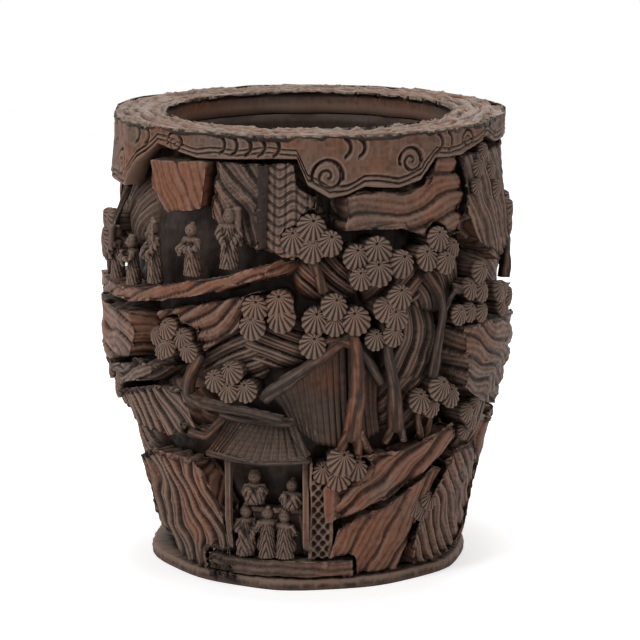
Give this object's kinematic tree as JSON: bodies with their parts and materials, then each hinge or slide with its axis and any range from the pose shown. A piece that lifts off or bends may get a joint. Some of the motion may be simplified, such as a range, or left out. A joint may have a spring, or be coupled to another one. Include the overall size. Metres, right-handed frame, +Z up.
{
  "type": "brush pot",
  "caption": "Round bamboo brush pot carved in deep relief with pines, rocks, small figures and a pavilion, under a scrolled cloud rim.",
  "frame": {"origin": "centre of the bottom of the pot, on the surface it stands on", "axes": "+Z up the culm, -Y towards the side with the pavilion, +X to the right of that side"},
  "size_m": [0.149, 0.1485, 0.16],
  "materials": {
    "dark_ground": "hollowed bamboo ground, nearly black brown, matt with old dirt",
    "rim_wood": "bamboo rim, grey brown, rubbed and dusty, with red-brown vertical grain",
    "pine_relief": "carved bamboo needle fans, grey brown with paler worn ridges",
    "figure_relief": "carved bamboo robes, brown with dark creases",
    "worn_red_wood": "worn reddish-brown bamboo with a dull sheen",
    "rock_relief": "carved bamboo rocks and roofs, dark brown with worn edges"
  },
  "bodies": {
    "root": {"back_boulder": "rock_relief", "back_cliff": "worn_red_wood", "back_crag": "worn_red_wood", "back_hanging_rock": "rock_relief", "back_low_rocks": "rock_relief", "back_path": "worn_red_wood", "back_pine_crown": "pine_relief", "back_pine_trunk": "worn_red_wood", "back_twin_crown": "pine_relief", "back_walker_1": "figure_relief", "cloud_rock": "rock_relief", "crag_face": "worn_red_wood", "crag_pine_crown": "pine_relief", "crag_strata": "worn_red_wood", "culm_wall": "dark_ground", "draped_rock": "rock_relief", "far_right_pine_crown": "pine_relief", "finger_rocks": "rock_relief", "folded_rock": "worn_red_wood", "foot_plinth": "rock_relief", "front_roof": "rock_relief", "groove_cliff": "rock_relief", "hanging_boulder": "worn_red_wood", "high_pine_crown": "pine_relief", "lattice_screen": "rock_relief", "leaf_cliff": "rock_relief", "leaf_rock": "rock_relief", "leaf_rocks_low": "rock_relief", "ledge_pine_crown": "pine_relief", "left_boulder": "worn_red_wood", "left_fan_crown": "pine_relief", "left_pine_crown": "pine_relief", "left_pine_trunk": "rock_relief", "let_in_floor": "dark_ground", "low_pine_crown": "pine_relief", "pavilion_floor": "rock_relief", "pavilion_post_left": "rock_relief", "pavilion_post_right": "rock_relief", "rear_roof": "rock_relief", "right_pine_crown": "pine_relief", "rim_collar": "rim_wood", "roof_pine_crown": "pine_relief", "scholar_1": "figure_relief", "scholar_2": "figure_relief", "scholar_3": "figure_relief", "scholar_4": "figure_relief", "shoulder_pine_crown": "pine_relief", "tall_pine_crown": "pine_relief", "tall_pine_trunk": "worn_red_wood", "tea_table": "rock_relief", "twin_pine_crown": "pine_relief", "twin_pine_trunk": "rock_relief", "twisted_rock": "rock_relief", "walker_1": "figure_relief", "walker_2": "figure_relief", "walker_3": "figure_relief", "walker_4": "figure_relief", "walker_5": "figure_relief", "walkers_ledge": "worn_red_wood", "water_columns": "rock_relief"}
  },
  "joints": []
}
